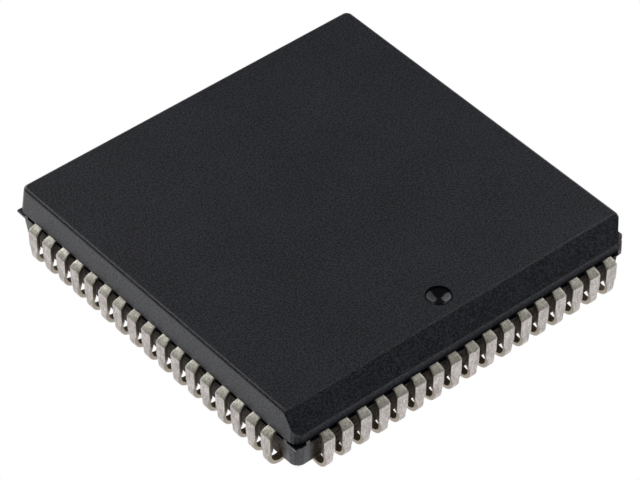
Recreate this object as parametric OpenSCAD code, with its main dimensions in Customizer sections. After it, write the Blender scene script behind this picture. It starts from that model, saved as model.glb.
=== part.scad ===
// Plastic leaded chip carrier: a moulded body around a lead frame whose J-leads fold under it.
// Lengths are millimetres. The origin is the centre of the seating plane under the J-leads,
// +Z is up, and +Y is the index side, which has the bevel and the dimple.

/* [Package] */
// Leads on each of the four sides
leads_per_side = 17; // [11:2:21]
// Spacing of the leads
lead_pitch = 1.27; // [1.2:0.01:1.5]
// From the last lead's centre line to the wall round the corner
corner_margin = 1.94; // [1.86:0.02:2.4]
// Height of the lead shoulders above the seating plane
shoulder_height = 2.65; // [2.5:0.05:3]
// Height of the moulding above the lead shoulders
upper_height = 1.66; // [1.5:0.02:2]
// Gap between the seating plane and the moulding
standoff = 0.62; // [0.56:0.02:0.8]

/* [Moulding] */
// Draft of the moulded walls, in degrees
wall_draft = 7; // [3:0.5:9]
// Draft of the index chamfer above the leads, in degrees
index_draft = 1; // [0:0.5:7]
// Radius of the upper edges
upper_edge_radius = 0.2; // [0.1:0.02:0.3]
// Radius of the lower edges
lower_edge_radius = 0.25; // [0.1:0.02:0.3]
// Radius of the upper half's three plain corners
upper_corner_radius = 0.6; // [0.4:0.02:0.8]
// Radius of the lower half's three plain corners
lower_corner_radius = 0.8; // [0.4:0.02:1]
// Chamfer of the index corner
index_chamfer = 1.14; // [1.07:0.01:1.22]
// Height of the upright lip below the index bevel
lip_height = 0.53; // [0.45:0.01:0.7]
// How far the index bevel runs in from the lip
bevel_run = 1.06; // [0.8:0.02:1.4]
// Width of the flats that soften the two ends of the bevel
bevel_end_flat = 0.16; // [0.06:0.02:0.24]
// Depth of the groove between the upper and lower halves
groove_depth = 0.28; // [0.1:0.02:0.4]
// Diameter of the index dimple
dimple_diameter = 1.55; // [1:0.05:2]
// Depth of the index dimple
dimple_depth = 0.32; // [0.1:0.02:0.5]
// From the top of the bevel to the dimple's centre
dimple_inset = 1.38; // [1.1:0.02:3]
// Thickness of the flash at the plain corners
flash_thickness = 0.1; // [0.05:0.01:0.15]
// How far the flash reaches into the halves that it hangs on
flash_bite = 0.04; // [0.02:0.01:0.06]
// How far the flash stands out past the walls
flash_proud = 0.03; // [0.02:0.01:0.1]
// How far the flash stands out past the index chamfer
index_flash_proud = 0.24; // [0.15:0.01:0.3]
// Depth of the notches in the index flash's broken edge
index_flash_rag = 0.06; // [0.01:0.01:0.08]
// Spacing of the two pits in the index flash
pit_spacing = 0.58; // [0.4:0.02:0.7]
// Diameter of the two pits
pit_diameter = 0.1; // [0.06:0.01:0.12]
// Diameter of the ejector marks on the underside
ejector_diameter = 1.8; // [1:0.1:2.4]
// Depth of the ejector marks
ejector_depth = 0.06; // [0.03:0.01:0.1]
// From the walls to the ejector marks' centres
ejector_inset = 4.2; // [3:0.1:5]

/* [Leads] */
// Thickness of the lead frame
frame_thickness = 0.25; // [0.2:0.01:0.28]
// How far the leads stand out from the walls
lead_reach = 0.48; // [0.46:0.01:0.55]
// Width of the leads where they leave the walls
root_width = 0.62; // [0.54:0.01:0.66]
// Width of the lead shoulders
shoulder_width = 0.76; // [0.66:0.01:0.81]
// Width of the leads below the neck
foot_width = 0.46; // [0.33:0.01:0.53]
// Outer radius of the shoulder bend
shoulder_radius = 0.44; // [0.29:0.01:0.44]
// From the top of the shoulder down to the neck
shoulder_length = 1.34; // [1:0.02:1.5]
// Length of the taper at the neck
neck_length = 0.34; // [0.1:0.02:0.4]
// Outer radius of the J bend
j_radius = 0.8; // [0.64:0.02:0.9]
// Angle through which the J bend turns, in degrees
j_angle = 130; // [120:1:150]

/* [Inside] */
// Spacing of the bond fingers at their tips
tip_pitch = 0.6; // [0.54:0.01:0.66]
// Width of the bond fingers at their tips
tip_width = 0.32; // [0.26:0.01:0.36]
// Straight length of each bond finger
tip_length = 0.6; // [0.5:0.05:0.8]
// From the bond fingers' tips to the die paddle
tip_gap = 0.35; // [0.25:0.05:0.6]
// Straight length of each lead inside the wall
root_length = 0.9; // [0.8:0.05:1]
// From the last bond finger's centre line to the paddle's edge
paddle_margin = 0.55; // [0.4:0.05:0.7]
// Width of the tie bars
tie_bar_width = 0.45; // [0.3:0.05:0.5]
// Width of the two prongs at the end of each tie bar
prong_width = 0.25; // [0.2:0.01:0.3]
// From the walls to the prongs' centre lines
prong_inset = 0.83; // [0.75:0.01:0.9]
// From the paddle's edge to the die
die_margin = 1.3; // [1:0.05:1.5]
// Thickness of the die
die_thickness = 0.4; // [0.25:0.01:0.5]
// Thickness of the die attach
attach_thickness = 0.03; // [0.02:0.005:0.05]
// How far the die attach spreads past the die
attach_spread = 0.1; // [0.05:0.01:0.2]
// From the die's edge to the bond pads' centres
pad_inset = 0.15; // [0.1:0.01:0.2]
// From the die's corner to the last bond pad's centre
pad_corner = 0.5; // [0.4:0.05:0.8]
// Diameter of the bond wires
wire_diameter = 0.032; // [0.025:0.001:0.04]
// Diameter of the bond balls
ball_diameter = 0.09; // [0.07:0.005:0.12]
// Height of the bond balls
ball_height = 0.03; // [0.02:0.005:0.04]
// Height of the wire's loop above the line between its two bonds
wire_loop = 0.4; // [0.3:0.02:0.5]
// From the finger's tip to the wire's second bond
bond_inset = 0.3; // [0.2:0.02:0.4]

/* [Hidden] */
$fn = 48;

// Turns about Z from the index side to each side
INDEX_SIDE = 0;
LEFT_SIDE = 90;
REAR_SIDE = 180;
RIGHT_SIDE = 270;

// Cutters and prisms run past the moulding by this much
clear = 1;

first_lead = (leads_per_side - 1) / 2;
half_body = first_lead * lead_pitch + corner_margin;
body_top = shoulder_height + upper_height;
frame_top = shoulder_height;
frame_bottom = frame_top - frame_thickness;
lip_taper = lip_height * tan(wall_draft);
bevel_top = half_body - lip_taper - bevel_run;
corner_cut = (2 - sqrt(2)) * upper_corner_radius;
index_reach = (2 * half_body - index_chamfer) / sqrt(2);
prism_length = 4 * half_body;
dimple_y = bevel_top - dimple_inset;
dimple_radius = (pow(dimple_diameter / 2, 2) + pow(dimple_depth, 2)) / (2 * dimple_depth);
ejector_place = half_body - ejector_inset;

lead_face = half_body + lead_reach;
root_y = half_body - root_length;
paddle_half = first_lead * tip_pitch + paddle_margin;
tip_y = paddle_half + tip_gap;
prong_line = half_body - prong_inset;
die_half = paddle_half - die_margin;
attach_top = frame_top + attach_thickness;
die_top = attach_top + die_thickness;
pad_line = die_half - pad_inset;
pad_pitch = (die_half - pad_corner) / first_lead;
bond_line = tip_y + bond_inset;

// Place of lead, finger or pad number k along its side, for a given spacing
function along(k, spacing) = (k - first_lead) * spacing;

function unit(v) = v / norm(v);

// Distances from the middle out to a wall: at the bottom, at the lead frame's two faces and at the top
function wall_line(lower, upper, upper_draft = wall_draft) = [
    lower - (frame_bottom - standoff) * tan(wall_draft), lower, upper, upper - upper_height * tan(upper_draft)
];

// Distances out to one flat of a plain corner, which faces the given angle from a wall
function corner_line(angle) =
    let (
        spread = cos(angle) + sin(angle),
        lower = (half_body - lower_corner_radius) * spread + lower_corner_radius,
        upper = (half_body - upper_corner_radius) * spread + upper_corner_radius
    ) wall_line(lower, upper);

// Outline whose corners are [x, y, radius], with a true arc at each corner that has a radius
module rounded_outline(corners) {
    count = len(corners);
    function point(i) = [corners[(i + count) % count].x, corners[(i + count) % count].y];
    function radius(i) = corners[i][2];
    function back(i) = unit(point(i - 1) - point(i));
    function ahead(i) = unit(point(i + 1) - point(i));
    function half_angle(i) = acos(back(i) * ahead(i)) / 2;
    function cut(i) = radius(i) / tan(half_angle(i));
    function centre(i) = point(i) + unit(back(i) + ahead(i)) * radius(i) / sin(half_angle(i));

    polygon([
        for (i = [0:count - 1])
            each radius(i) == 0
                ? [point(i)]
                : [point(i) + cut(i) * back(i), point(i) + cut(i) * ahead(i)]
    ]);
    for (i = [0:count - 1])
        if (radius(i) > 0)
            translate(centre(i)) circle(radius(i));
}

// Upright section of the moulding between two wall lines, with the bevel at its far end or not
module wall_section(near, far, bevelled = false) {
    far_top = bevelled
        ? [
            [half_body - lip_taper, frame_top + lip_height, upper_edge_radius],
            [bevel_top, body_top, upper_edge_radius],
        ]
        : [[far[3], body_top, upper_edge_radius]];
    rounded_outline(concat(
        [
            [-near[0], standoff, lower_edge_radius],
            [far[0], standoff, lower_edge_radius],
            [far[1], frame_bottom, 0],
            [far[2], frame_top, 0],
        ],
        far_top,
        [
            [-near[3], body_top, upper_edge_radius],
            [-near[2], frame_top, 0],
            [-near[1], frame_bottom, 0],
        ]
    ));
}

// Stands a section up, facing the given turn about Z, and runs it through the body
module section_prism(turn) {
    rotate([90, 0, turn])
        linear_extrude(prism_length, center = true)
            children();
}

// Plan of the body at the parting plane, drawn in by an inset
module body_plan(inset) {
    h = half_body - inset;
    c = corner_cut;
    i = index_chamfer;
    polygon([
        [h, c - h], [h, h - c], [h - c, h], [i - h, h],
        [-h, h - i], [-h, c - h], [c - h, -h], [h - c, -h],
    ]);
}

// The closed moulding, with its walls, its bevel, rounded plain corners in three flats and the index chamfer
module moulding_blank() {
    wall = wall_line(half_body, half_body);
    index = wall_line(index_reach, index_reach, index_draft);
    open = wall_line(2 * half_body, 2 * half_body);
    corner_angles = [22.5, 45, 67.5];
    intersection() {
        section_prism(0) wall_section(wall, wall);
        section_prism(90) wall_section(wall, wall, bevelled = true);
        intersection_for(angle = corner_angles)
            section_prism(angle) wall_section(corner_line(angle), corner_line(angle));
        intersection_for(angle = corner_angles)
            section_prism(90 + angle) wall_section(corner_line(angle), angle == 45 ? index : open);
    }
}

// What is cut off the bevel's end towards +X, where it meets the wall
module bevel_end_cut() {
    wall_facing = [cos(wall_draft), 0, sin(wall_draft)];
    bevel_facing = unit([0, upper_height - lip_height, bevel_run]);
    facing = unit(wall_facing + bevel_facing);
    cut_depth = bevel_end_flat / 2 * tan(acos(wall_facing * bevel_facing) / 2);
    edge = half_body - lip_taper;
    translate([edge, edge, frame_top + lip_height])
        rotate([0, acos(facing.z), atan2(facing.y, facing.x)])
            translate([-half_body, -half_body, -cut_depth])
                cube([2 * half_body, 2 * half_body, clear]);
}

// The groove at the parting plane
module parting_groove() {
    translate([0, 0, frame_bottom])
        linear_extrude(frame_thickness)
            difference() {
                square(2 * (half_body + clear), center = true);
                body_plan(groove_depth);
            }
}

// Thin web of flash at a plain corner, here the one towards +X and +Y, out to the tie bar's prongs
module corner_flash() {
    tip = half_body + flash_proud;
    arm = prong_line;
    root = half_body - 2 * groove_depth;
    foot = arm - 2 * groove_depth;
    polygon([[tip, tip], [arm, tip], [foot, root], [root, root], [root, foot], [tip, arm]]);
}

// Plan of the flash along the index corner's chamfer, here turned to face +X, with a broken outer edge
module index_flash_plan() {
    edge = index_reach + index_flash_proud;
    root = index_reach - 2 * groove_depth;
    root_half = index_chamfer / sqrt(2);
    chamfer_half = root_half + flash_proud * sqrt(2);
    edge_half = chamfer_half - index_flash_proud;
    notches = 11;
    function rag(i) = index_flash_rag * (1 + sin(i * 222)) / 2;
    polygon(concat(
        [[index_reach, chamfer_half], [root, root_half], [root, -root_half], [index_reach, -chamfer_half]],
        [for (i = [0:notches]) [edge - rag(i), edge_half * (2 * i / notches - 1)]]
    ));
}

// The index flash, as thick as the lead frame, with a pit where each prong was broken off
module index_flash() {
    pit_line = index_reach + index_flash_proud / 2;
    pit_depth = frame_thickness / 2;
    difference() {
        translate([0, 0, frame_bottom - flash_bite])
            linear_extrude(frame_thickness + 2 * flash_bite)
                index_flash_plan();
        for (side = [-1, 1])
            translate([pit_line, side * pit_spacing / 2, frame_top + flash_bite - pit_depth])
                cylinder(d = pit_diameter, h = pit_depth + clear);
    }
}

// The flash at the three plain corners
module plain_flash() {
    translate([0, 0, frame_bottom - flash_bite])
        linear_extrude(flash_bite + flash_thickness)
            for (turn = [0, 180, 270])
                rotate(turn) corner_flash();
}

// The moulding before the pieces inside it are taken out
module moulding() {
    difference() {
        moulding_blank();
        parting_groove();
        for (side = [0, 1])
            mirror([side, 0, 0]) bevel_end_cut();
        translate([0, dimple_y, body_top + dimple_radius - dimple_depth]) sphere(dimple_radius);
        for (x = [-1, 1], y = [-1, 1])
            translate([x * ejector_place, y * ejector_place, standoff - clear])
                cylinder(d = ejector_diameter, h = clear + ejector_depth);
    }
    plain_flash();
    rotate([0, 0, 135]) index_flash();
}

// Sector of a bent strip about the X axis, from the outward direction +Y up by the given angle
module bend(outer, width, angle) {
    rotate([90, 0, 90])
        rotate_extrude(angle = angle)
            translate([outer - frame_thickness, -width / 2])
                square([frame_thickness, width]);
}

// Outline of a lead's fold from the front, which narrows in a smooth curve at the neck
module fold_front() {
    wide = shoulder_width / 2;
    narrow = foot_width / 2;
    neck = frame_top - shoulder_length;
    steps = 5;
    function half_width(i) = narrow + (wide - narrow) * (1 - cos(180 * i / steps)) / 2;
    function height(i) = neck - neck_length * (1 - i / steps);
    polygon(concat(
        [[-narrow, -clear], [narrow, -clear]],
        [for (i = [0:steps]) [half_width(i), height(i)]],
        [[wide, body_top], [-wide, body_top]],
        [for (i = [steps:-1:0]) [-half_width(i), height(i)]]
    ));
}

// Outline of a lead's fold from above, which widens from the wall to the leg
module fold_plan() {
    wide = shoulder_width / 2;
    root = root_width / 2;
    leg_line = lead_face - frame_thickness;
    polygon([
        [-root, 0], [root, 0], [root, half_body], [wide, leg_line],
        [wide, lead_face + clear], [-wide, lead_face + clear], [-wide, leg_line], [-root, half_body],
    ]);
}

// The folded part of one lead, outside the wall on the index side
module lead_fold() {
    leg_top = frame_top - shoulder_radius;
    wide = shoulder_width / 2;
    intersection() {
        union() {
            translate([-wide, half_body, frame_bottom])
                cube([shoulder_width, lead_reach - shoulder_radius, frame_thickness]);
            translate([0, lead_face - shoulder_radius, leg_top])
                bend(shoulder_radius, shoulder_width, 90);
            translate([-wide, lead_face - frame_thickness, j_radius])
                cube([shoulder_width, frame_thickness, leg_top - j_radius]);
            translate([0, lead_face - j_radius, j_radius])
                rotate([-j_angle, 0, 0])
                    bend(j_radius, shoulder_width, j_angle);
        }
        rotate([90, 0, 0])
            linear_extrude(prism_length, center = true)
                fold_front();
        translate([0, 0, -clear])
            linear_extrude(clear + body_top)
                fold_plan();
    }
}

// The flat part of lead number k, from its bond finger to the wall
module lead_finger(k) {
    tip = along(k, tip_pitch);
    root = along(k, lead_pitch);
    fan_y = tip_y + tip_length;
    translate([0, 0, frame_bottom])
        linear_extrude(frame_thickness)
            polygon([
                [tip - tip_width / 2, tip_y], [tip + tip_width / 2, tip_y],
                [tip + tip_width / 2, fan_y], [root + root_width / 2, root_y],
                [root + root_width / 2, half_body], [root - root_width / 2, half_body],
                [root - root_width / 2, root_y], [tip - tip_width / 2, fan_y],
            ]);
}

// One side's row of leads
module lead_row(turn) {
    color("silver")
        rotate([0, 0, turn])
            for (k = [0:leads_per_side - 1]) {
                lead_finger(k);
                translate([along(k, lead_pitch), 0, 0]) lead_fold();
            }
}

// One tie bar, from the paddle to the corner towards +X and +Y, with a prong to each wall
module tie_bar() {
    rotate(45)
        translate([0, -tie_bar_width / 2])
            square([prong_line * sqrt(2), tie_bar_width]);
    translate([prong_line - prong_width / 2, prong_line - prong_width / 2]) {
        square([prong_width, half_body]);
        square([half_body, prong_width]);
    }
}

module die_paddle() {
    color("silver")
        translate([0, 0, frame_bottom])
            linear_extrude(frame_thickness) {
                square(2 * paddle_half, center = true);
                intersection() {
                    body_plan(-flash_proud);
                    for (turn = [0:90:270])
                        rotate(turn) tie_bar();
                }
            }
}

module die_attach() {
    color("lightgray")
        translate([0, 0, frame_top])
            linear_extrude(attach_thickness)
                square(2 * (die_half + attach_spread), center = true);
}

module die() {
    color("slategray")
        translate([0, 0, attach_top])
            linear_extrude(die_thickness)
                square(2 * die_half, center = true);
}

// One bond wire from a pad to a finger, both [x, y]: a ball on the pad and an arc down to the second bond
module bond_wire(pad, finger) {
    heading = atan2(finger.y - pad.y, finger.x - pad.x);
    span = norm(finger - pad);
    start_z = die_top + ball_height / 2;
    drop = start_z - frame_top;
    chord = norm([span, drop]);
    arc_radius = (pow(chord / 2, 2) + pow(wire_loop, 2)) / (2 * wire_loop);
    half_turn = asin(chord / 2 / arc_radius);
    overrun = asin(wire_diameter / arc_radius);
    translate([pad.x, pad.y, 0])
        rotate([0, 0, heading]) {
            translate([0, 0, die_top]) cylinder(d = ball_diameter, h = ball_height);
            translate([span / 2, 0, start_z - drop / 2])
                rotate([90, atan2(drop, span), 0])
                    translate([0, wire_loop - arc_radius])
                        rotate([0, 0, 90 - half_turn - overrun])
                            rotate_extrude(angle = 2 * half_turn + overrun)
                                translate([arc_radius, 0]) circle(d = wire_diameter);
        }
}

// One side's row of bond wires, cut off flush with the bond fingers
module wire_row(turn) {
    color("gold")
        rotate([0, 0, turn])
            difference() {
                for (k = [0:leads_per_side - 1])
                    bond_wire([along(k, pad_pitch), pad_line], [along(k, tip_pitch), bond_line]);
                translate([-half_body, 0, frame_top - clear]) cube([2 * half_body, half_body, clear]);
            }
}

module moulded_body() {
    color([0.18, 0.18, 0.19])
        difference() {
            moulding();
            for (turn = [INDEX_SIDE, LEFT_SIDE, REAR_SIDE, RIGHT_SIDE]) {
                lead_row(turn);
                wire_row(turn);
            }
            die_paddle();
            die_attach();
            die();
        }
}

moulded_body();
lead_row(INDEX_SIDE);  // leads_index_side
lead_row(LEFT_SIDE);  // leads_left_side
lead_row(REAR_SIDE);  // leads_rear_side
lead_row(RIGHT_SIDE);  // leads_right_side
die_paddle();
die_attach();
die();
wire_row(INDEX_SIDE);  // wires_index_side
wire_row(LEFT_SIDE);  // wires_left_side
wire_row(REAR_SIDE);  // wires_rear_side
wire_row(RIGHT_SIDE);  // wires_right_side
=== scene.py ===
"""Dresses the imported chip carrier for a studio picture.

The moulding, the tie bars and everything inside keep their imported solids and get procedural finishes.
The J-leads are lofted with creased shoulders, rolled edges and a slight unevenness, and stand for the
packed rows of leads.
"""

import math
import random
from collections import namedtuple

import bpy
from mathutils import Matrix, Quaternion, Vector


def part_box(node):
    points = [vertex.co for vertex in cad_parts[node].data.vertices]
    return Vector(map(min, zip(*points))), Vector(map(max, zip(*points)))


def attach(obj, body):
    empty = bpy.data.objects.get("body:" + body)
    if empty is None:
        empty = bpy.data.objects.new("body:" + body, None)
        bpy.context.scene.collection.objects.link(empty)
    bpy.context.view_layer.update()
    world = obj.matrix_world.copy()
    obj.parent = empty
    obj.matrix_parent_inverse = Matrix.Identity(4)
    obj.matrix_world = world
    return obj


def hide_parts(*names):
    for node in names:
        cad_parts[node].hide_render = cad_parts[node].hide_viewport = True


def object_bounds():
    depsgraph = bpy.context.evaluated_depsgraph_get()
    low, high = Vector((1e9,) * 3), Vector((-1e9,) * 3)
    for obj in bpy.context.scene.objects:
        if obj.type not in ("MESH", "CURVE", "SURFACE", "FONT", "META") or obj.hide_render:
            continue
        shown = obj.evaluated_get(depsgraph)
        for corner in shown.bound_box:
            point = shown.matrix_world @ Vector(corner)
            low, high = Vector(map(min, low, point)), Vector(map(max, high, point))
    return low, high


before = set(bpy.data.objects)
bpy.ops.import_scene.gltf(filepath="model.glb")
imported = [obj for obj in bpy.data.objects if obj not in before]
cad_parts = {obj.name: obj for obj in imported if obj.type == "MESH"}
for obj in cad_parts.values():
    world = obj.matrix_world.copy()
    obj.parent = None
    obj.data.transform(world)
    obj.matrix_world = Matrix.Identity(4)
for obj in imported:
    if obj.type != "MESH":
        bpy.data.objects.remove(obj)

bl_info = {
    "name": "Chip Carrier Dressing",
    "version": (1, 0, 0),
    "blender": (4, 5, 0),
    "location": "View3D > Sidebar > Chip Carrier",
    "description": "Finishes, lofted leads and a studio for a plastic leaded chip carrier",
    "category": "Object",
}

MM = 0.001
CAD_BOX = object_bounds()
ROW_LOW, ROW_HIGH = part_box("leads_index_side")

# Turns about Z, in degrees, from the index side to the side that each packed row stands on
ROW_TURNS = {
    "leads_index_side": 0,
    "leads_left_side": 90,
    "leads_rear_side": 180,
    "leads_right_side": 270,
}
WIRE_ROWS = ("wires_index_side", "wires_left_side", "wires_rear_side", "wires_right_side")

# Places of the finishes among the materials of a row of leads
PLATED, CUT, INSIDE = range(3)

# A Mix node's sockets for colours, which come after those for numbers and vectors
MIX_COLOURS = slice(6, 8)
MIX_RESULT = 2

# A place on a lead's centre line: the spacing of the leads there, the distance out, the height, the
# angle of the outward direction, the strip's width, and how much longer its section is for standing askew
Station = namedtuple("Station", "spacing out height outward width askew", defaults=(1,))

# The outward direction's angle where the strip lies flat
UP = math.pi / 2


def length(name, description, millimetres):
    """A length property, given in millimetres and kept in metres."""
    return bpy.props.FloatProperty(
        name=name, description=description, default=millimetres * MM, min=0, precision=6, unit="LENGTH"
    )


def colour(name, description, value):
    """A linear colour property."""
    return bpy.props.FloatVectorProperty(
        name=name, description=description, default=value, min=0, max=1, size=3, subtype="COLOR"
    )


def share(name, description, value):
    """A property from 0 to 1."""
    return bpy.props.FloatProperty(
        name=name, description=description, default=value, min=0, max=1, subtype="FACTOR"
    )


def angle(name, description, degrees):
    """An angle property, given in degrees and kept in radians."""
    return bpy.props.FloatProperty(
        name=name, description=description, default=math.radians(degrees), unit="ROTATION", subtype="ANGLE"
    )


def power(name, description, watts):
    """A light's power property."""
    return bpy.props.FloatProperty(name=name, description=description, default=watts, unit="POWER")


class MouldFinish(bpy.types.PropertyGroup):
    """The moulded epoxy."""

    dark: colour("Resin", "Colour of the resin between the grains", (0.0045, 0.0052, 0.009))
    light: colour("Filler", "Colour of the filler grains at the surface", (0.038, 0.041, 0.054))
    broken: colour("Broken resin", "Colour of the flash's broken edges", (0.36, 0.30, 0.33))
    # This colour is painted shade: the dull brown tone of the lower walls between the leads
    wall_shade_tone: colour("Wall_shade", "Colour of the film between the leads", (0.10, 0.075, 0.056))
    grain: length("Grain", "Size of the moulded surface's grains", 0.1)
    grain_depth: length("Grain depth", "Height of the grains", 0.0012)
    cloud: length("Cloud", "Size of the moulded surface's faint cloudy patches", 4.0)
    roughness: share("Roughness", "Middle roughness of the moulded surface", 0.33)
    gloss: share("Gloss", "How strongly the moulded surface reflects", 0.5)
    # Painted shade: how little the walls between the leads reflect
    wall_shade_gloss: share("Shaded_wall gloss", "How strongly the film between the leads reflects", 0.03)
    dimple_roughness: share("Dimple roughness", "Roughness inside the index dimple", 0.12)
    dimple_gloss: share("Dimple gloss", "How strongly the dimple reflects beside the rest", 0.7)
    dimple_width: length("Dimple width", "Diameter of the index dimple", 1.55)
    dimple_line: length("Dimple line", "From the middle of the body to the dimple's centre", 9.6)
    corner_flash: length("Corner flash", "Where flash is broken, as the sum of both distances out", 23.95)
    corner_paleness: share("Corner paleness", "How pale the plain corners' flash is beside the index", 0.3)
    index_flash: length("Index flash", "The same sum at the index corner", 23.15)
    lip_gloss: share("Lip gloss", "How strongly the upright lip on the index side reflects", 0.18)
    # The lip's dulling towards the leads and the dark resin at its foot are painted shade
    lip_top: length("Lip top", "Height from which the lip dulls towards the leads", 3.15)
    lip_foot: length("Lip foot", "Height at which the lip is dullest", 2.66)
    # These two place the painted shade on the lower walls between the leads
    wall_shade_height: length("Stain height", "Height below which the film between the leads starts", 2.38)
    wall_shade_end: length("Stain end", "From the middle of a side to the end of the film", 10.8)


class LeadFinish(bpy.types.PropertyGroup):
    """The J-leads' strip, folds and plating."""

    count: bpy.props.IntProperty(name="Leads", description="Leads on each side", default=17, min=2)
    thickness: length("Thickness", "Thickness of the strip", 0.25)
    root_width: length("Root width", "Width of the strip where it leaves the wall", 0.62)
    shoulder_width: length("Shoulder width", "Width of the strip above the neck", 0.76)
    foot_width: length("Foot width", "Width of the strip below the neck", 0.46)
    flare: length("Flare", "Distance over which the strip widens from root to shoulder", 0.3)
    shoulder_radius: length("Shoulder radius", "Outer radius of the sloping shoulder", 1.3)
    crease: angle("Crease", "Slope of the shoulder where it is creased into the leg", 48)
    crease_reach: length("Crease reach", "How far the crease reaches along the strip, each way", 0.03)
    shoulder_length: length("Shoulder length", "From the top of the shoulder down to the neck", 1.2)
    neck_length: length("Neck length", "Length of the taper at the neck", 0.62)
    j_radius: length("J radius", "Outer radius of the J bend", 0.8)
    j_angle: angle("J angle", "Angle through which the J bend turns", 130)
    root_length: length("Root length", "From the body's wall to where the fingers start to fan in", 0.9)
    lead_reach: length("Reach", "How far the leads stand out from the body's wall", 0.48)
    tip_pitch: length("Tip pitch", "Spacing of the bond fingers at their tips", 0.6)
    tip_width: length("Tip width", "Width of the bond fingers at their tips", 0.32)
    tip_length: length("Tip length", "Straight length of each bond finger", 0.6)
    edge_radius: length("Edge radius", "Radius of the strip's rolled edges", 0.02)
    crown: length("Crown", "How much the plating swells between the edges", 0.004)
    wander: length("Wander", "How far a lead may stand out of line", 0.02)
    twist: angle("Twist", "How far a lead's leg may turn about its own line", 1.2)
    # Shoulder and leg colours stand for one tin: the shoulders' are painted lighter and yellower as light
    # where the strip faces up
    tin: colour("Tin", "Colour of the clean plating on the shoulders", (0.76, 0.73, 0.65))
    tarnish: colour("Tarnish", "Colour of the dull plating on the shoulders", (0.43, 0.415, 0.345))
    leg_tin: colour("Leg tin", "Colour of the clean plating on the upright legs", (0.69, 0.637, 0.61))
    leg_tarnish: colour("Leg tarnish", "Colour of the dull plating on the legs", (0.3864, 0.3567, 0.3416))
    pitted: colour("Pits", "Colour of the plating's fine pits", (0.22, 0.20, 0.17))
    sheared: colour("Sheared edge", "Colour of the bare cut edges above the neck", (0.225, 0.18, 0.135))
    cut: colour("Cut edge", "Colour of the tinned cut edges below the neck", (0.54, 0.48, 0.405))
    # A brownish tone painted on the strip's inside as light reflected there
    inside_light_tone: colour("Painted_light tin", "Colour of the strip's inside", (0.54, 0.47, 0.33))


class InsideFinish(bpy.types.PropertyGroup):
    """The tie bars and what the moulding hides."""

    alloy: colour("Alloy", "Colour of the tie bars' bare alloy", (0.13, 0.11, 0.10))
    paste: colour("Paste", "Colour of the die attach", (0.55, 0.55, 0.56))
    silicon: colour("Silicon", "Colour of the die", (0.20, 0.22, 0.26))
    wire: colour("Wire", "Colour of the bond wires", (0.83, 0.62, 0.24))


class StageLook(bpy.types.PropertyGroup):
    """The floor, the lights and the camera."""

    floor_glow: bpy.props.FloatProperty(name="Floor", description="Brightness of the floor", default=1.0)
    floor_radius: length("Floor's radius", "Radius of the round floor", 3000)
    floor_gap: length("Floor's gap", "How far the floor lies below the part", 0.01)
    shade_width: length("Shade", "Width of the shade under the part", 22.0)
    shade_edge: length("Shade's edge", "Width of the shade's soft edge", 0.4)
    shade: share("Shade's depth", "How bright the floor stays under the part", 0.6)
    sky: bpy.props.FloatProperty(name="Sky", description="Brightness of the room", default=0.102)
    left_power: power("Left light", "Power of the soft light on the left", 3.7)
    left_turn: angle("Left light's turn", "Left light's turn about the part, like the camera's", 6)
    left_spread: angle("Left light's spread", "Half the angle that the left light covers sideways", 28.4)
    right_power: power("Right light", "Power of the soft light on the right", 2.95)
    right_turn: angle("Right light's turn", "Right light's turn about the part, like the camera's", 268.5)
    right_spread: angle("Right light's spread", "Half the angle that the right light covers sideways", 36.9)
    light_foot: angle("Lights' foot", "Elevation of both lights' lower edges", 7)
    light_top: angle("Lights' top", "Elevation of both lights' upper edges", 59)
    light_distance: length("Lights' distance", "From the middle of the part to the lights", 600)
    azimuth: angle("Azimuth", "Camera's turn about the part, 0 looking along +Y", 139.95)
    elevation: angle("Elevation", "Camera's height above the horizon", 43.06)
    roll: angle("Roll", "Camera's roll", -0.126)
    distance: length("Distance", "From the camera to the point it looks at", 199.3)
    aim: bpy.props.FloatVectorProperty(
        name="Aim",
        description="The point that the camera looks at",
        default=(0.91 * MM, 0.79 * MM, 2.65 * MM),
        size=3,
        precision=6,
        subtype="TRANSLATION",
    )
    lens: bpy.props.FloatProperty(
        name="Lens", description="Focal length on a 36 mm sensor", default=202.87, unit="CAMERA"
    )


def new_material(name, kind="ShaderNodeBsdfPrincipled"):
    """A material with nothing but one shader in its tree, and that tree and shader."""
    material = bpy.data.materials.new(name)
    material.use_nodes = True
    tree = material.node_tree
    tree.nodes.clear()
    output = tree.nodes.new("ShaderNodeOutputMaterial")
    shader = tree.nodes.new(kind)
    tree.links.new(shader.outputs[0], output.inputs["Surface"])
    return material, tree, shader


def feed(tree, socket, value):
    """Links a socket to another one, or sets it to a number or a plain colour."""
    if isinstance(value, bpy.types.NodeSocket):
        tree.links.new(value, socket)
    elif socket.type == "RGBA":
        socket.default_value = (*value, 1)
    else:
        socket.default_value = value


def coordinates(tree, kind="Object"):
    """The surface's own coordinates, in metres: on the object, or with UV on the flat strip."""
    return tree.nodes.new("ShaderNodeTexCoord").outputs[kind]


def split_vector(tree, vector):
    """A vector's three parts."""
    node = tree.nodes.new("ShaderNodeSeparateXYZ")
    tree.links.new(vector, node.inputs["Vector"])
    return node.outputs


def facing(tree):
    """The three parts of the unit direction that the surface faces."""
    return split_vector(tree, tree.nodes.new("ShaderNodeNewGeometry").outputs["True Normal"])


def noise(tree, source, size, stretch=(1, 1, 1), detail=2, rough=0.5):
    """Noise with lumps of about the given size, in metres, drawn out along each axis by the stretch."""
    mapping = tree.nodes.new("ShaderNodeMapping")
    mapping.inputs["Scale"].default_value = [1 / (size * s) for s in stretch]
    texture = tree.nodes.new("ShaderNodeTexNoise")
    texture.inputs["Scale"].default_value = 1
    texture.inputs["Detail"].default_value = detail
    texture.inputs["Roughness"].default_value = rough
    tree.links.new(source, mapping.inputs["Vector"])
    tree.links.new(mapping.outputs["Vector"], texture.inputs["Vector"])
    return texture.outputs["Fac"]


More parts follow.
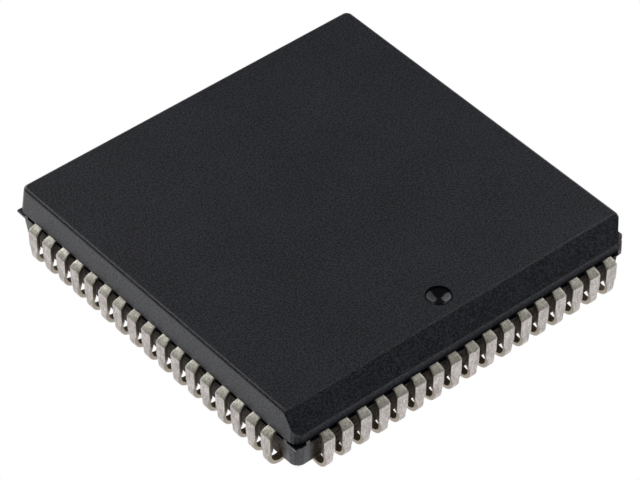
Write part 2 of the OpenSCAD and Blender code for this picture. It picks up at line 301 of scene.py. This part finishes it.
def spread(tree, factor, low, high, start=0.3, end=0.7):
    """A factor's range from start to end, by default where most noise lies, spread over low to high."""
    node = tree.nodes.new("ShaderNodeMapRange")
    node.inputs["From Min"].default_value = start
    node.inputs["From Max"].default_value = end
    node.inputs["To Min"].default_value = low
    node.inputs["To Max"].default_value = high
    tree.links.new(factor, node.inputs["Value"])
    return node.outputs["Result"]


def clamp_step(tree, value, start, end):
    """0 before start, 1 after end."""
    return spread(tree, value, 0, 1, start, end)


def between(tree, factor, low, high):
    """Low where the factor is 0, high where it is 1."""
    return spread(tree, factor, low, high, 0, 1)


def arithmetic(tree, operation, *values):
    """Values, each a socket or a number, put through one Math node."""
    node = tree.nodes.new("ShaderNodeMath")
    node.operation = operation
    for socket, value in zip(node.inputs, values):
        feed(tree, socket, value)
    return node.outputs["Value"]


def product(tree, first, *others):
    """Several values multiplied."""
    for other in others:
        first = arithmetic(tree, "MULTIPLY", first, other)
    return first


def magnitude(tree, value):
    """A value without its sign."""
    return arithmetic(tree, "ABSOLUTE", value)


def complement(tree, factor):
    """1 where the factor is 0, 0 where it is 1."""
    return arithmetic(tree, "SUBTRACT", 1, factor)


def blend(tree, factor, first, second):
    """A colour between two, each a socket or a plain colour."""
    node = tree.nodes.new("ShaderNodeMix")
    node.data_type = "RGBA"
    tree.links.new(factor, node.inputs["Factor"])
    for socket, value in zip(node.inputs[MIX_COLOURS], (first, second)):
        feed(tree, socket, value)
    return node.outputs[MIX_RESULT]


def mottled(tree, lumps, base, darkest, start=0.3, end=0.7):
    """A colour that noise darkens, down to a share of itself."""
    return blend(tree, clamp_step(tree, lumps, start, end), [darkest * c for c in base], base)


def roughen(tree, shader, height, depth):
    """Bumps on the shader's surface, of the given depth in metres."""
    node = tree.nodes.new("ShaderNodeBump")
    node.inputs["Distance"].default_value = depth
    tree.links.new(height, node.inputs["Height"])
    tree.links.new(node.outputs["Normal"], shader.inputs["Normal"])


def broken_flash(tree, look, across, along, grains):
    """How pale broken flash is: 1 all over the index corner's, less on the plain corners' upright edges."""
    soft = 0.05 * MM
    ragged = product(tree, grains, soft)
    upright = clamp_step(tree, magnitude(tree, facing(tree)["Z"]), 0.8, 0.4)
    both_ways = arithmetic(tree, "ADD", magnitude(tree, across), magnitude(tree, along))
    far_corner = arithmetic(tree, "ADD", both_ways, ragged)
    far_index = arithmetic(tree, "ADD", arithmetic(tree, "SUBTRACT", along, across), ragged)
    corners = clamp_step(tree, far_corner, look.corner_flash, look.corner_flash + soft)
    index = clamp_step(tree, far_index, look.index_flash, look.index_flash + soft)
    return arithmetic(tree, "MAXIMUM", product(tree, corners, upright, look.corner_paleness), index)


def wall_shade_mask(tree, look, across, along, height):
    """1 on the lower walls behind the leads, where a brown painted shade goes."""
    soft_end = 0.4 * MM
    soft_top = 0.04 * MM
    from_middle = arithmetic(tree, "MINIMUM", magnitude(tree, across), magnitude(tree, along))
    behind_leads = clamp_step(tree, from_middle, look.wall_shade_end + soft_end, look.wall_shade_end)
    low = clamp_step(tree, height, look.wall_shade_height, look.wall_shade_height - soft_top)
    return product(tree, behind_leads, low)


def index_lip(tree, look, height):
    """Two values: 1 on the upright lip above the index side's leads, and 1 at the foot of that lip, where
    shade is painted.
    """
    soft = 0.02 * MM
    faces = facing(tree)
    towards_index = clamp_step(tree, faces["Y"], 0.2, 0.9)
    upright = clamp_step(tree, faces["Z"], 0.4, 0.2)
    above_leads = clamp_step(tree, height, look.wall_shade_height, look.wall_shade_height + soft)
    lip = product(tree, towards_index, upright, above_leads)
    return lip, product(tree, lip, clamp_step(tree, height, look.lip_top, look.lip_foot))


def around_dimple(tree, look, across, along):
    """Two values: 0 inside the index dimple and 1 outside it, and 1 on the dimple's sharp rim."""
    off_line = arithmetic(tree, "SUBTRACT", along, look.dimple_line)
    squares = (product(tree, part, part) for part in (off_line, across))
    off_centre = arithmetic(tree, "SQRT", arithmetic(tree, "ADD", *squares))
    edge = look.dimple_width / 2
    rim_start, rim_full, rim_end = (part * edge for part in (0.82, 0.9, 0.98))
    outside = clamp_step(tree, off_centre, rim_end, edge)
    rim_or_outside = clamp_step(tree, off_centre, rim_start, rim_full)
    return outside, arithmetic(tree, "SUBTRACT", rim_or_outside, outside)


def mould_compound(look):
    """Black epoxy with fine grains, polished in the dimple, pale on broken flash, dull and darkened near
    the leads as painted shade.
    """
    material, tree, shader = new_material("mould_compound")
    place = coordinates(tree)
    across, along, height = split_vector(tree, place)
    grains = noise(tree, place, look.grain, detail=3, rough=0.6)
    outside, rim = around_dimple(tree, look, across, along)
    dimple = complement(tree, outside)
    broken = broken_flash(tree, look, across, along, grains)
    wall_shade = wall_shade_mask(tree, look, across, along, height)
    lip, lip_shade = index_lip(tree, look, height)

    cloudiness = 0.1
    mottle = arithmetic(tree, "MULTIPLY_ADD", noise(tree, place, look.cloud), cloudiness, grains)
    tone = blend(tree, clamp_step(tree, mottle, 0.48, 0.67), look.dark, look.light)
    # Painted shade: the walls between the leads get a mottled dull brown tone that stands in for the shade
    # there
    lumps = noise(tree, place, 3 * look.grain, detail=4, rough=0.8)
    painted_mottle = mottled(tree, lumps, look.wall_shade_tone, darkest=0.1, start=0.44, end=0.58)
    tone = blend(tree, wall_shade, tone, painted_mottle)
    # The dimple shows the plain dark resin; the index lip's foot is painted with it as shade near the leads
    tone = blend(tree, arithmetic(tree, "MAXIMUM", lip_shade, dimple), tone, look.dark)
    torn = noise(tree, place, 0.6 * look.grain, detail=4)
    pale = mottled(tree, torn, look.broken, darkest=0.3, start=0.35, end=0.6)
    feed(tree, shader.inputs["Base Color"], blend(tree, broken, tone, pale))

    unevenness = 0.04
    matte = spread(tree, grains, look.roughness - unevenness, look.roughness + unevenness)
    rough = arithmetic(tree, "MINIMUM", matte, between(tree, outside, look.dimple_roughness, 1))
    feed(tree, shader.inputs["Roughness"], arithmetic(tree, "MAXIMUM", rough, broken))

    speckle = 0.3
    shine = product(
        tree,
        between(tree, lip, look.gloss, look.lip_gloss),
        # Painted shade: the index lip loses its reflection towards its foot
        complement(tree, lip_shade),
        complement(tree, rim),
        between(tree, dimple, 1, look.dimple_gloss),
    )
    # Painted shade: the walls between the leads barely reflect
    shine = arithmetic(tree, "MINIMUM", shine, between(tree, wall_shade, look.gloss, look.wall_shade_gloss))
    shine = product(tree, shine, spread(tree, grains, 1 - speckle, 1 + speckle))
    feed(tree, shader.inputs["Specular IOR Level"], shine)
    roughen(tree, shader, product(tree, grains, outside), look.grain_depth)
    return material


def tinned_plating(look):
    """Warm grey tin, finely grained and pitted, with faint streaks along the strip and dull patches,
    painted lighter and yellower on the upward shoulders.
    """
    material, tree, shader = new_material("tinned_plating")
    strip = coordinates(tree, "UV")
    grains = noise(tree, strip, 0.1 * MM, stretch=(1, 1.5, 1), detail=4, rough=0.75)
    streaks = noise(tree, strip, 0.08 * MM, stretch=(1, 8, 1))
    patches = noise(tree, coordinates(tree), 0.7 * MM)
    streak_weight = 0.6
    patch_weight = 0.6
    worn = arithmetic(tree, "MULTIPLY_ADD", streaks, streak_weight, grains)
    wear = arithmetic(tree, "MULTIPLY_ADD", patches, patch_weight, worn)
    dull = clamp_step(tree, wear, 0.9, 1.3)

    # Painted light: upward-facing parts take the lighter, yellower shoulder colours
    leg_lit_tone = blend(tree, dull, look.leg_tin, look.leg_tarnish)
    shoulder_lit_tone = blend(tree, dull, look.tin, look.tarnish)
    sloping = clamp_step(tree, facing(tree)["Z"], 0.05, 0.3)
    tone = blend(tree, sloping, leg_lit_tone, shoulder_lit_tone)
    pits = spread(tree, noise(tree, strip, 0.09 * MM, detail=3), low=0.7, high=0, start=0.32, end=0.44)
    feed(tree, shader.inputs["Base Color"], blend(tree, pits, tone, look.pitted))
    feed(tree, shader.inputs["Roughness"], between(tree, dull, 0.42, 0.54))
    feed(tree, shader.inputs["Metallic"], 1)
    roughen(tree, shader, worn, depth=0.01 * MM)
    return material


def cut_edge(look):
    """The strip's cut edges, bare and brown above the neck, with shear marks across the thickness."""
    material, tree, shader = new_material("cut_edge")
    shear = noise(tree, coordinates(tree, "UV"), 0.06 * MM, stretch=(6, 1, 1), detail=3)
    height = split_vector(tree, coordinates(tree))["Z"]
    neck = ROW_HIGH.z - look.shoulder_length
    bare = clamp_step(tree, height, neck - look.neck_length, neck)
    tinned, sheared = (mottled(tree, shear, tone, darkest=2 / 3) for tone in (look.cut, look.sheared))
    feed(tree, shader.inputs["Base Color"], blend(tree, bare, tinned, sheared))
    feed(tree, shader.inputs["Roughness"], spread(tree, shear, 0.4, 0.6))
    feed(tree, shader.inputs["Metallic"], 0.9)
    roughen(tree, shader, shear, depth=0.004 * MM)
    return material


def inner_face_painted_light(look):
    """The strip's inside, with a brownish diffuse tone painted to stand in for the light reflected into the
    J.
    """
    material, tree, shader = new_material("inner_face_painted_light")
    painted_mottle = noise(tree, coordinates(tree, "UV"), 0.15 * MM, detail=4, rough=0.7)
    # Painted light: a bright brownish tone with little metal, so diffuse light lifts the inside where metal
    # would stay dark
    feed(tree, shader.inputs["Base Color"], mottled(tree, painted_mottle, look.inside_light_tone, darkest=0.5))
    feed(tree, shader.inputs["Roughness"], spread(tree, painted_mottle, 0.5, 0.7))
    feed(tree, shader.inputs["Metallic"], 0.3)
    roughen(tree, shader, painted_mottle, depth=0.005 * MM)
    return material


def grained(name, base, metallic, roughness, grain):
    """A finish with a fine grain in its colour and roughness, for the pieces inside."""
    material, tree, shader = new_material(name)
    unevenness = 0.06
    lumps = noise(tree, coordinates(tree), grain, detail=3)
    feed(tree, shader.inputs["Base Color"], mottled(tree, lumps, base, darkest=0.75))
    feed(
        tree,
        shader.inputs["Roughness"],
        spread(tree, lumps, roughness - unevenness, roughness + unevenness),
    )
    feed(tree, shader.inputs["Metallic"], metallic)
    roughen(tree, shader, lumps, depth=0.05 * grain)
    return material


def finish_node(name, material):
    """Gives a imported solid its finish."""
    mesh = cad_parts[name].data
    mesh.materials.clear()
    mesh.materials.append(material)


def eased(start, end, part):
    """A value on its way from start to end, slow at both ends. The part of the way is 1 at the end."""
    return start + (end - start) * (1 - math.cos(math.pi * min(1.0, part))) / 2


def shoulder_stations(look, pitch):
    """Stations from the mitre at the wall over the sloping arc and the crease to the leg above the neck."""
    half = look.thickness / 2
    face = ROW_HIGH.y
    top = ROW_HIGH.z
    wall = face - look.lead_reach
    radius = look.shoulder_radius
    end_slope = look.crease
    start_slope = math.asin(math.sin(end_slope) - look.lead_reach / radius)

    skew = start_slope / 2
    root = wall - half * math.tan(skew)
    stations = [Station(pitch, root, top - half, UP - skew, look.root_width, 1 / math.cos(skew))]

    # The arc's last two steps are left to the crease
    arc_steps = 6
    for i in range(1, arc_steps - 1):
        slope = start_slope + (end_slope - start_slope) * i / arc_steps
        out = wall + radius * (math.sin(slope) - math.sin(start_slope)) - half * math.sin(slope)
        height = top + radius * (math.cos(slope) - math.cos(start_slope)) - half * math.cos(slope)
        width = eased(look.root_width, look.shoulder_width, (out - wall) / look.flare)
        stations.append(Station(pitch, out, height, UP - slope, width))

    skew = (UP - end_slope) / 2
    leg = face - half
    fold = top - radius * (math.cos(start_slope) - math.cos(end_slope)) - half * math.tan(skew)
    reach = look.crease_reach
    for out, height in (
        (leg - reach * math.cos(end_slope), fold + reach * math.sin(end_slope)),
        (leg, fold),
        (leg, fold - reach),
    ):
        stations.append(Station(pitch, out, height, skew, look.shoulder_width, 1 / math.cos(skew)))
    neck = top - look.shoulder_length
    stations.append(Station(pitch, leg, (neck + fold) / 2, 0, look.shoulder_width))
    return stations


def strip_path(look, j_angle):
    """Stations along a lead's centre line, from its finger's tip to the J's tip."""
    half = look.thickness / 2
    flat = ROW_HIGH.z - half
    tip = ROW_LOW.y
    wall = ROW_HIGH.y - look.lead_reach
    pitch = (ROW_HIGH.x - ROW_LOW.x - look.shoulder_width) / (look.count - 1)
    stations = [
        Station(look.tip_pitch, tip, flat, UP, look.tip_width),
        Station(look.tip_pitch, tip + look.tip_length, flat, UP, look.tip_width),
        Station(pitch, wall - look.root_length, flat, UP, look.root_width),
    ]
    stations += shoulder_stations(look, pitch)

    neck = ROW_HIGH.z - look.shoulder_length
    neck_steps = 8
    for i in range(neck_steps + 1):
        part = i / neck_steps
        width = eased(look.shoulder_width, look.foot_width, part)
        stations.append(Station(pitch, ROW_HIGH.y - half, neck - look.neck_length * part, 0, width))

    j_steps = 18
    middle = look.j_radius - half
    for i in range(j_steps + 1):
        outward = -j_angle * i / j_steps
        out = ROW_HIGH.y - look.j_radius + middle * math.cos(outward)
        height = look.j_radius + middle * math.sin(outward)
        stations.append(Station(pitch, out, height, outward, look.foot_width))
    return stations


def strip_section(look, width):
    """The strip's rounded section: (across, outward, which finish follows) for each point."""
    radius = look.edge_radius
    side = width / 2 - radius
    face = look.thickness / 2 - look.crown - radius
    corner_steps = 3
    # Where the crown's height is given, as parts of the way from the middle to the rolled edge
    crown_places = (-0.6, 0, 0.6)

    def corner(across, outward, start):
        for i in range(corner_steps + 1):
            a = start + math.pi / 2 * i / corner_steps
            yield across + radius * math.cos(a), outward + radius * math.sin(a)

    def crowned(direction):
        for part in crown_places:
            height = look.thickness / 2 - look.crown * part * part
            yield -direction * part * side, direction * height

    points = []
    for direction, first, finish in ((1, 0, PLATED), (-1, math.pi, INSIDE)):
        outline = [
            *corner(direction * side, direction * face, first),
            *crowned(direction),
            *corner(-direction * side, direction * face, first + math.pi / 2),
        ]
        points += [(x, y, finish) for x, y in outline[:-1]]
        points.append((*outline[-1], CUT))
    return points


def loft_lead(look, place, chance):
    """One lead's points, section by section, and where each lies on the flat strip."""
    back = chance.uniform(0, look.wander)
    drift = chance.uniform(-0.5, 0.5) * look.wander
    twist = chance.uniform(-1, 1) * look.twist
    points, strip = [], []
    run = 0.0
    before = None
    for station in strip_path(look, look.j_angle - chance.uniform(0, look.twist)):
        here = Vector((station.out, station.height))
        run += (here - before).length if before else 0.0
        before = here
        centre = place * station.spacing
        loose = min(1.0, max(0.0, (ROW_HIGH.z - station.height) / look.shoulder_length))
        for across, rise, _ in strip_section(look, station.width):
            rise *= station.askew
            inwards = back + abs(twist) * station.width / 2 + across * twist
            x = centre + across + drift * loose
            y = station.out + rise * math.cos(station.outward) - loose * inwards
            z = station.height + rise * math.sin(station.outward)
            points.append((x, y, z))
            strip.append((centre + across, run + rise))
    return points, strip


def lead_row(name, look, turn, chance):
    """One side's row of lofted leads, as a mesh with the strip's own coordinates."""
    points, faces, finishes, strip = [], [], [], []
    section_finishes = [finish for _, _, finish in strip_section(look, look.foot_width)]
    ring = len(section_finishes)
    for k in range(look.count):
        first = len(points)
        lead_points, lead_strip = loft_lead(look, k - (look.count - 1) / 2, chance)
        points += lead_points
        strip += lead_strip
        last = len(points) - ring
        for start in range(first, last, ring):
            for i in range(ring):
                a = start + i
                b = start + (i + 1) % ring
                faces.append((a, b, b + ring, a + ring))
            finishes += section_finishes
        faces.append(tuple(range(first + ring - 1, first - 1, -1)))
        faces.append(tuple(range(last, last + ring)))
        finishes += [CUT, CUT]

    mesh = bpy.data.meshes.new(name)
    mesh.from_pydata(points, [], faces)
    mesh.transform(Matrix.Rotation(math.radians(turn), 4, "Z"))
    mesh.polygons.foreach_set("material_index", finishes)
    mesh.polygons.foreach_set("use_smooth", [True] * len(faces))
    layer = mesh.uv_layers.new(name="strip")
    layer.uv.foreach_set("vector", [c for loop in mesh.loops for c in strip[loop.vertex_index]])
    mesh.validate()
    mesh.update()
    return mesh


def show(name, data):
    """A new object in the scene, from a mesh, a light or a camera."""
    made = bpy.data.objects.new(name, data)
    bpy.context.scene.collection.objects.link(made)
    return made


class CHIP_CARRIER_OT_moulding(bpy.types.Operator):
    """Finish the moulded body in matte black epoxy"""

    bl_idname = "chip_carrier.moulding"
    bl_label = "Finish the Moulding"

    def execute(self, context):
        finish_node("moulded_body", mould_compound(context.scene.mould_finish))
        return {"FINISHED"}


class CHIP_CARRIER_OT_leads(bpy.types.Operator):
    """Loft the four rows of J-leads and plate them with tin"""

    bl_idname = "chip_carrier.leads"
    bl_label = "Loft the Leads"

    def execute(self, context):
        look = context.scene.lead_finish
        # In the order of PLATED, CUT and INSIDE
        finishes = (tinned_plating(look), cut_edge(look), inner_face_painted_light(look))
        for seed, (node, turn) in enumerate(ROW_TURNS.items()):
            row = show("tinned_" + node, lead_row(node + "_loft", look, turn, random.Random(seed)))
            for finish in finishes:
                row.data.materials.append(finish)
            row.modifiers.new("flat_faces", "WEIGHTED_NORMAL")
            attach(row, "root")
            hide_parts(node)
        return {"FINISHED"}


class CHIP_CARRIER_OT_inside(bpy.types.Operator):
    """Finish the tie bars, the die and the bond wires"""

    bl_idname = "chip_carrier.inside"
    bl_label = "Finish the Inside"

    def execute(self, context):
        look = context.scene.inside_finish
        bare = grained("tie_bar_alloy", look.alloy, metallic=0.9, roughness=0.45, grain=0.08 * MM)
        cured = grained("die_attach_paste", look.paste, metallic=0.3, roughness=0.6, grain=0.05 * MM)
        polished = grained("polished_silicon", look.silicon, metallic=0.6, roughness=0.2, grain=0.4 * MM)
        drawn = grained("drawn_gold_wire", look.wire, metallic=1, roughness=0.25, grain=0.03 * MM)
        finish_node("die_paddle", bare)
        finish_node("die_attach", cured)
        finish_node("die", polished)
        for row in WIRE_ROWS:
            finish_node(row, drawn)
        return {"FINISHED"}


def away(azimuth, elevation):
    """The direction from the part to a viewer, azimuth 0 looking along +Y."""
    level = math.cos(elevation)
    return Vector((math.sin(azimuth) * level, -math.cos(azimuth) * level, math.sin(elevation)))


def point_along(holder, direction, roll=0):
    """Turns a light or a camera to look in a direction."""
    holder.rotation_mode = "QUATERNION"
    holder.rotation_quaternion = direction.to_track_quat("-Z", "Y") @ Quaternion((0, 0, 1), roll)


def soft_light(name, look, turn, half_spread, watts):
    """An upright soft box beside the part, placed by the angles that it covers as the part sees it."""
    distance = look.light_distance
    bottom, top = (distance * math.tan(elevation) for elevation in (look.light_foot, look.light_top))
    light = bpy.data.lights.new(name, "AREA")
    light.shape = "RECTANGLE"
    light.size = 2 * distance * math.tan(half_spread)
    light.size_y = top - bottom
    light.energy = watts
    holder = show(name, light)
    back = away(turn, 0)
    holder.location = back * distance + Vector((0, 0, (top + bottom) / 2))
    point_along(holder, -back)


def white_floor(look):
    """A wide white floor that glows evenly, but for the soft shade right under the part."""
    material, tree, glow = new_material("white_floor", "ShaderNodeEmission")
    across, along, _ = split_vector(tree, coordinates(tree))
    far = arithmetic(tree, "MAXIMUM", magnitude(tree, across), magnitude(tree, along))
    shaded = look.shade * look.floor_glow
    edge = look.shade_width / 2
    strength = spread(tree, far, shaded, look.floor_glow, edge, edge + look.shade_edge)
    feed(tree, glow.inputs["Strength"], strength)

    sides = 64
    turns = [2 * math.pi * i / sides for i in range(sides)]
    rim = [(look.floor_radius * math.cos(t), look.floor_radius * math.sin(t), 0) for t in turns]
    mesh = bpy.data.meshes.new("floor")
    mesh.from_pydata(rim, [], [tuple(range(sides))])
    mesh.materials.append(material)
    floor = show("floor", mesh)
    floor.location.z = CAD_BOX[0].z - look.floor_gap


def lit_room(look):
    """A world of even, faint white light."""
    world = bpy.data.worlds.new("room")
    world.use_nodes = True
    room = world.node_tree.nodes["Background"]
    room.inputs["Color"].default_value = (1, 1, 1, 1)
    room.inputs["Strength"].default_value = look.sky
    bpy.context.scene.world = world


def studio_camera(look):
    """The camera, at the picture's angle."""
    data = bpy.data.cameras.new("studio_camera")
    data.lens = look.lens
    data.sensor_width = 36
    data.clip_start = 0.01
    data.clip_end = 20
    camera = show("studio_camera", data)
    back = away(look.azimuth, look.elevation)
    camera.location = Vector(look.aim) + back * look.distance
    point_along(camera, -back, look.roll)
    bpy.context.scene.camera = camera


class CHIP_CARRIER_OT_stage(bpy.types.Operator):
    """Set up the floor, the lights and the camera"""

    bl_idname = "chip_carrier.stage"
    bl_label = "Set the Stage"

    def execute(self, context):
        look = context.scene.stage_look
        white_floor(look)
        soft_light("left_light", look, look.left_turn, look.left_spread, look.left_power)
        soft_light("right_light", look, look.right_turn, look.right_spread, look.right_power)
        lit_room(look)
        studio_camera(look)
        context.scene.view_settings.view_transform = "Standard"
        return {"FINISHED"}


OPERATORS = (
    CHIP_CARRIER_OT_moulding,
    CHIP_CARRIER_OT_leads,
    CHIP_CARRIER_OT_inside,
    CHIP_CARRIER_OT_stage,
)


class CHIP_CARRIER_PT_dressing(bpy.types.Panel):
    """The dressing's steps, in order"""

    bl_idname = "CHIP_CARRIER_PT_dressing"
    bl_label = "Chip Carrier"
    bl_space_type = "VIEW_3D"
    bl_region_type = "UI"
    bl_category = "Chip Carrier"

    def draw(self, context):
        for operator in OPERATORS:
            self.layout.operator(operator.bl_idname)


LOOKS = {
    "mould_finish": MouldFinish,
    "lead_finish": LeadFinish,
    "inside_finish": InsideFinish,
    "stage_look": StageLook,
}
CLASSES = (*LOOKS.values(), *OPERATORS, CHIP_CARRIER_PT_dressing)


def register():
    """Registers the classes and gives the scene their looks."""
    for cls in CLASSES:
        bpy.utils.register_class(cls)
    for name, look in LOOKS.items():
        setattr(bpy.types.Scene, name, bpy.props.PointerProperty(type=look))


def unregister():
    """Takes back what register did."""
    for name in LOOKS:
        delattr(bpy.types.Scene, name)
    for cls in reversed(CLASSES):
        bpy.utils.unregister_class(cls)


def main():
    """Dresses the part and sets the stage."""
    register()
    bpy.ops.chip_carrier.moulding()
    bpy.ops.chip_carrier.leads()
    bpy.ops.chip_carrier.inside()
    bpy.ops.chip_carrier.stage()


if __name__ == "__main__":
    main()
